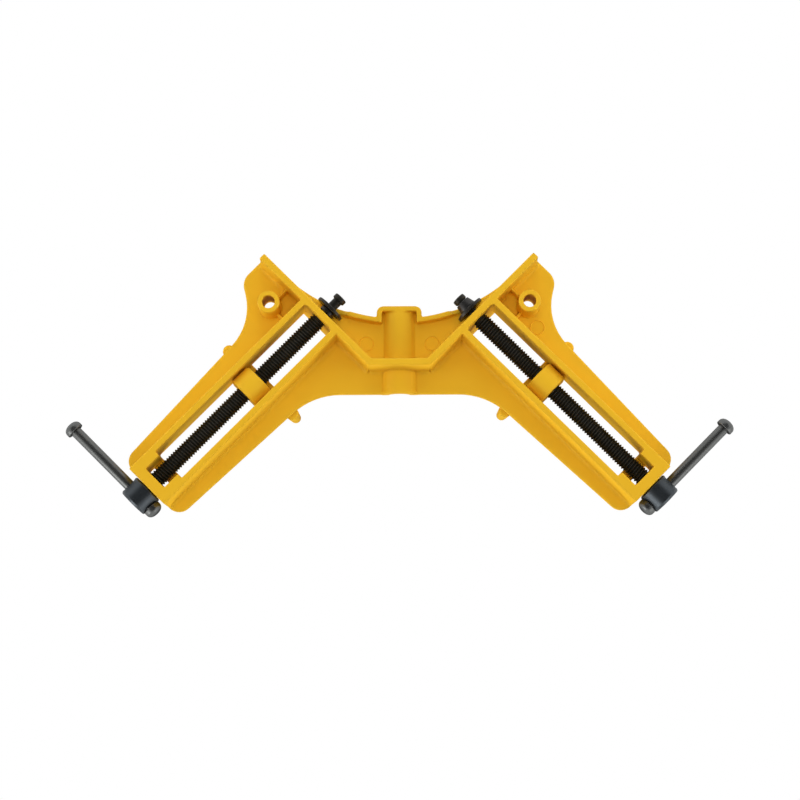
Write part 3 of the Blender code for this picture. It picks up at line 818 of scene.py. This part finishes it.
@dataclass
class HandleHub:
    """The round head on a spindle, with a blind bore, a cross hole and a flat seat at its ends.

    Attributes:
        edge: The radius of the edge next to the arm.
        chamfer: How long the chamfer at the free end is, along the hub.
        chamfer_rise: How much of the radius that chamfer takes.
        crown: How far the free end's middle stands proud of its rim.
        crown_ring: The crown's middle ring, as its shares of the radius and of the crown.
        bore: The radius of the blind bore.
        end_wall: How thick the wall behind the bore is.
        hole: The radius of the cross hole.
        seat: The radius of the flat seats.
        seat_depth: How deep the seats are cut.
        reach: How far the cutters reach, in hub radii.
        segments: How many segments the hub has round.
        cutter_segments: How many segments a cutter has round.
        grain: The voxel size of the softened skin.
        passes: How many smoothing passes it gets.
    """

    edge: float = 0.9 * MM
    chamfer: float = 1.2 * MM
    chamfer_rise: float = 0.84 * MM
    crown: float = 0.3 * MM
    crown_ring: tuple[float, float] = (0.5, 0.7)
    bore: float = 5.05 * MM
    end_wall: float = 1.5 * MM
    hole: float = 3.3 * MM
    seat: float = 5.05 * MM
    seat_depth: float = 0.7 * MM
    reach: float = 1.2
    segments: int = 96
    cutter_segments: int = 64
    grain: float = 0.22 * MM
    passes: int = 4

    def head(self, arm: Arm, node: bpy.types.Object, name: str) -> bpy.types.Object:
        """Turn the head with its blind bore.

        Args:
            arm: The arm that it belongs to.
            node: The CAD node that gives its place.
            name: The new piece's name.

        Returns:
            The new piece.
        """
        low, high = arm.spindle.extent(node)
        radius = arm.spindle.radius(node)
        bottom = high - self.end_wall
        rim = high - self.crown
        out, up = self.crown_ring
        profile = [(bottom, 0), (bottom, self.bore), (low, self.bore)]
        profile += arc((low + self.edge, radius - self.edge), self.edge, 180, 90)
        profile += [(rim - self.chamfer, radius), (rim, radius - self.chamfer_rise)]
        profile += [(rim + up * self.crown, out * radius), (high, 0)]
        return skin(name, turned(profile, self.segments), arm.spindle)

    def cutters(self, arm: Arm, radius: float) -> list[bpy.types.Object]:
        """Return the cutters of the cross hole and of the two seats.

        Args:
            arm: The arm that the hub belongs to.
            radius: The hub's radius.

        Returns:
            The cutters.
        """
        far = self.reach * radius
        near = radius - self.seat_depth
        tools = []
        for low, high, size in (
            (-far, far, self.hole),
            (near, far, self.seat),
            (-far, -near, self.seat),
        ):
            profile = [(low, 0), (low, size), (high, size), (high, 0)]
            tools.append(skin("hub_cutter", turned(profile, self.cutter_segments), arm.bar))
        return tools

    def build(self, arm: Arm, nodes: Nodes, wardrobe: Wardrobe) -> bpy.types.Object:
        """Build the hub in place of its CAD node.

        Args:
            arm: The arm that it belongs to.
            nodes: The CAD nodes.
            wardrobe: The finishes.

        Returns:
            The new piece.
        """
        node = arm.name("handle_hub")
        item = self.head(arm, nodes[node], arm.name("hub_head"))
        carve(item, self.cutters(arm, arm.spindle.radius(nodes[node])))
        soften(item, self.grain, self.passes)
        wardrobe.seat(item, Finish.HUB, arm.name("screw"), node)
        return item


@dataclass
class SlidingBar:
    """The bar through a hub, with a domed knob on each end.

    Attributes:
        edge: The edge radius of the bar's ends and of a knob's lip.
        lip: How long a knob's straight side is.
        socket: The radius of a knob's blind socket.
        end_wall: How thick a knob's wall behind its socket is.
        squareness: How full the dome is: 2 is an ellipse.
        edge_steps: How many steps a knob's rounded lip has.
        dome_steps: How many steps the dome has.
    """

    edge: float = 0.35 * MM
    lip: float = 1.5 * MM
    socket: float = 3.3 * MM
    end_wall: float = 1.2 * MM
    squareness: float = 2.3
    edge_steps: int = 3
    dome_steps: int = 14

    def knob_profile(self, inner: float, outer: float, radius: float) -> Profile:
        """Return a knob's profile from its socket's bottom to the middle of its dome.

        Args:
            inner: The place of its flat face.
            outer: The place of its domed end.
            radius: Its radius.

        Returns:
            The profile.
        """
        sign = math.copysign(1, outer - inner)
        bottom = outer - sign * self.end_wall
        shoulder = inner + sign * self.lip
        depth = abs(outer - shoulder)
        power = 2 / self.squareness
        profile = [(bottom, 0), (bottom, self.socket), (inner, self.socket)]
        for turn in quarter(self.edge_steps):
            along = inner + sign * self.edge * (1 - math.cos(turn))
            profile.append((along, radius - self.edge * (1 - math.sin(turn))))
        for turn in quarter(self.dome_steps):
            along = shoulder + sign * depth * math.sin(turn) ** power
            profile.append((along, radius * max(math.cos(turn), 0) ** power))
        return profile

    def build(self, arm: Arm, nodes: Nodes, wardrobe: Wardrobe) -> list[bpy.types.Object]:
        """Build the bar and its knobs in place of their CAD nodes.

        Args:
            arm: The arm that they belong to.
            nodes: The CAD nodes.
            wardrobe: The finishes.

        Returns:
            The new pieces.
        """
        node = arm.name("tommy_bar")
        low, high = arm.bar.extent(nodes[node])
        radius = arm.bar.radius(nodes[node])
        profile = [(low, 0), *barrel(low, high, radius, self.edge), (high, 0)]
        made = [skin(arm.name("bar_rod"), turned(profile), arm.bar)]
        wardrobe.seat(made[0], Finish.BAR, arm.name("bar"), node)
        for end in ("near", "far"):
            node = arm.name(f"{end}_knob")
            low, high = arm.bar.extent(nodes[node])
            radius = arm.bar.radius(nodes[node])
            inner, outer = sorted((low, high), key=abs)
            rings = turned(self.knob_profile(inner, outer, radius))
            item = skin(arm.name(f"{end}_domed_knob"), rings, arm.bar)
            wardrobe.seat(item, Finish.BAR, arm.name("bar"), node)
            made.append(item)
        return made


@dataclass(frozen=True)
class SoftBox:
    """A round soft lamp that faces the clamp.

    Attributes:
        name: The lamp's name.
        heading: Its compass place in degrees from +X.
        height: How high it stands, in degrees above the clamp's level.
        watts: Its power.
        glossy: Whether it shows as a reflection.
        size: Its diameter.
        distance: How far it stands.
    """

    name: str
    heading: float
    height: float
    watts: float
    glossy: bool = True
    size: float = 0.7
    distance: float = 1.15

    def build(self) -> None:
        """Hang the lamp."""
        around = math.radians(self.heading)
        above = math.radians(self.height)
        level = math.cos(above)
        toward = Vector((level * math.cos(around), level * math.sin(around), math.sin(above)))
        data = bpy.data.lights.new(self.name, "AREA")
        data.shape = "DISK"
        data.size = self.size
        data.energy = self.watts
        item = bpy.data.objects.new(self.name, data)
        bpy.context.scene.collection.objects.link(item)
        item.location = toward * self.distance
        item.rotation_mode = "QUATERNION"
        item.rotation_quaternion = toward.to_track_quat("Z", "Y")
        item.visible_camera = False
        item.visible_glossy = self.glossy


LAMPS: tuple[SoftBox, ...] = (
    SoftBox("below_box", 0, -90, 4.2, False),
    SoftBox("low_east_box", 0, -50, 0.4, False),
    SoftBox("low_west_box", 180, -50, 0.8, False),
    SoftBox("low_north_box", 90, -50, 1.9, False),
    SoftBox("rim_east_box", 0, -15, 3.8, False),
    SoftBox("rim_north_east_box", 45, -15, 1.0, False),
    SoftBox("rim_north_box", 90, -15, 2.9, False),
    SoftBox("rim_north_west_box", 135, -15, 1.0, False),
    SoftBox("rim_west_box", 180, -15, 5.2, False),
    SoftBox("rim_south_west_box", 225, -15, 1.5),
    SoftBox("rim_south_east_box", 315, -15, 3.7),
    SoftBox("high_east_box", 0, 35, 3.3, False),
    SoftBox("high_north_box", 90, 35, 6.2, False),
    SoftBox("high_south_box", 270, 35, 9.0, False),
)


@dataclass(frozen=True)
class Sheet:
    """A level square of paper in the studio, which isn't part of the clamp.

    Attributes:
        name: Its name.
        half: Half of its side.
        height: Its height.
        colour: Its colour, linear.
        roughness: The paper's roughness.
    """

    name: str
    half: float
    height: float
    colour: Colour
    roughness: float

    def lay(self) -> bpy.types.Object:
        """Build the sheet in its place."""
        maker = bmesh.new()
        bmesh.ops.create_grid(maker, x_segments=1, y_segments=1, size=self.half)
        mesh = bpy.data.meshes.new(self.name)
        maker.to_mesh(mesh)
        maker.free()
        material = bpy.data.materials.new(f"{self.name}_paper")
        material.use_nodes = True
        tree = material.node_tree
        inputs = {"Base Color": (*self.colour, 1.0), "Roughness": self.roughness}
        wire(tree, tree.nodes["Principled BSDF"], inputs)
        mesh.materials.append(material)
        item = bpy.data.objects.new(self.name, mesh)
        item.location = (0, 0, self.height)
        bpy.context.scene.collection.objects.link(item)
        return item


FLOOR = Sheet("pale_floor", 3.0, -0.3 * MM, (0.82, 0.82, 0.81), 0.9)
CARDS: tuple[Sheet, ...] = (
    Sheet("lower_card", 1.0, -1.15, (0.02, 0.02, 0.02), 1.0),
    # Painted shade: a dim sheet above the clamp, in place of a shaded surface, seen only in
    # reflections.
    Sheet("upper_shade_card", 0.8, 0.9, (0.10, 0.10, 0.10), 1.0),
)


@dataclass
class Studio:
    """The surroundings, the floor, the cards, the lamps and the camera.

    Attributes:
        lens: The camera's focal length in millimetres.
        sensor: How wide its sensor is, in millimetres.
        sight: The nearest and the farthest that it sees.
        distance: How far it stands from its target.
        tilt: How far the view leans from straight up, in degrees.
        roll: How far the picture is turned, in degrees.
        offset: Where the picture's middle lies from the spindles' fence end, along Y.
        aside: Where the picture's middle lies along X.
        ambient: How strongly the white surroundings light the clamp.
    """

    lens: float = 86.0
    sensor: float = 36.0
    sight: tuple[float, float] = (0.05, 20.0)
    distance: float = 1.0107
    tilt: float = 8.0
    roll: float = 0.26
    offset: float = -46.4786 * MM
    aside: float = -0.24 * MM
    ambient: float = 0.15

    def camera(self, level: float) -> None:
        """Place the camera below the clamp, looking up at its underside.

        Args:
            level: The Y of the spindles' fence ends.
        """
        tilt = math.radians(self.tilt)
        roll = math.radians(self.roll)
        forward = Vector((0, math.sin(tilt), math.cos(tilt)))
        right = Vector((-1, 0, 0))
        up = Vector((0, math.cos(tilt), -math.sin(tilt)))
        turned_right = right * math.cos(roll) - up * math.sin(roll)
        turned_up = right * math.sin(roll) + up * math.cos(roll)
        columns = Matrix((turned_right, turned_up, -forward)).transposed()
        data = bpy.data.cameras.new("reference_view")
        data.lens = self.lens
        data.sensor_width = self.sensor
        data.clip_start, data.clip_end = self.sight
        item = bpy.data.objects.new("reference_view", data)
        bpy.context.scene.collection.objects.link(item)
        target = Vector((self.aside, level + self.offset, 0))
        place = Matrix.Translation(target - forward * self.distance)
        item.matrix_world = place @ columns.to_4x4()
        bpy.context.scene.camera = item

    def sky(self) -> None:
        """Make the white surroundings, which light the clamp less than they show."""
        world = bpy.data.worlds.new("pale_studio")
        bpy.context.scene.world = world
        world.use_nodes = True
        tree = world.node_tree
        shown = wire(tree, tree.nodes["Background"], {"Color": WHITE, "Strength": 1.0})
        lit = tree.nodes.new("ShaderNodeBackground")
        wire(tree, lit, {"Color": WHITE, "Strength": self.ambient})
        path = tree.nodes.new("ShaderNodeLightPath")
        seen = path.outputs["Is Camera Ray"]
        for kind in ("Is Glossy Ray", "Is Transmission Ray"):
            seen = combine(tree, "MAXIMUM", seen, path.outputs[kind])
        mix = tree.nodes.new("ShaderNodeMixShader")
        inputs = {"Fac": seen, 1: lit.outputs["Background"], 2: shown.outputs["Background"]}
        wire(tree, mix, inputs)
        wire(tree, tree.nodes["World Output"], {"Surface": mix.outputs["Shader"]})

    def floor(self) -> None:
        """Lay the pale floor, which only shows from above, and let light from below through it."""
        tree = FLOOR.lay().data.materials[0].node_tree
        clear = tree.nodes.new("ShaderNodeBsdfTransparent")
        facing = tree.nodes.new("ShaderNodeNewGeometry")
        path = tree.nodes.new("ShaderNodeLightPath")
        rays = path.outputs["Is Camera Ray"]
        seen = combine(tree, "SUBTRACT", rays, facing.outputs["Backfacing"])
        paper = tree.nodes["Principled BSDF"]
        mix = tree.nodes.new("ShaderNodeMixShader")
        inputs = {"Fac": seen, 1: clear.outputs["BSDF"], 2: paper.outputs["BSDF"]}
        wire(tree, mix, inputs)
        wire(tree, tree.nodes["Material Output"], {"Surface": mix.outputs["Shader"]})

    def cards(self) -> None:
        """Hang the dark cards above and below, which only show as reflections. The upper one is
        painted shade: a dim sheet that stands in for a shaded surface above the clamp.
        """
        for card in CARDS:
            item = card.lay()
            item.visible_camera = False
            item.visible_diffuse = False
            item.visible_shadow = False

    def build(self, level: float) -> None:
        """Build the whole studio.

        Args:
            level: The Y of the spindles' fence ends, which the camera follows.
        """
        bpy.context.scene.view_settings.view_transform = "Standard"
        self.sky()
        self.floor()
        self.cards()
        for lamp in LAMPS:
            lamp.build()
        self.camera(level)


def main() -> None:
    """Dress the clamp and set up the studio."""
    logging.basicConfig(level=logging.INFO, format="%(name)s: %(message)s")
    for item in list(bpy.data.objects):
        bpy.data.objects.remove(item, do_unlink=True)
    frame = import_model()
    nodes = frame["nodes"]
    wardrobe = Wardrobe()
    for name in ("body_casting", "right_moving_jaw", "left_moving_jaw"):
        LOG.info("softened %s", Casting(name).build(nodes, wardrobe).name)
    arms = [Arm.from_joints(side, frame["joints"], nodes) for side in Side]
    for arm in arms:
        made = [Spindle().build(arm, nodes, wardrobe), HandleHub().build(arm, nodes, wardrobe)]
        made += Retainer().build(arm, nodes, wardrobe)
        made += SlidingBar().build(arm, nodes, wardrobe)
        for item in made:
            LOG.info("built %s", item.name)
    start = arms[0].spindle.place.translation
    for mark in MARKS:
        LOG.info("built %s", mark.build(start.y - abs(start.x), wardrobe).name)
    Studio().build(start.y)


if __name__ == "__main__":
    main()
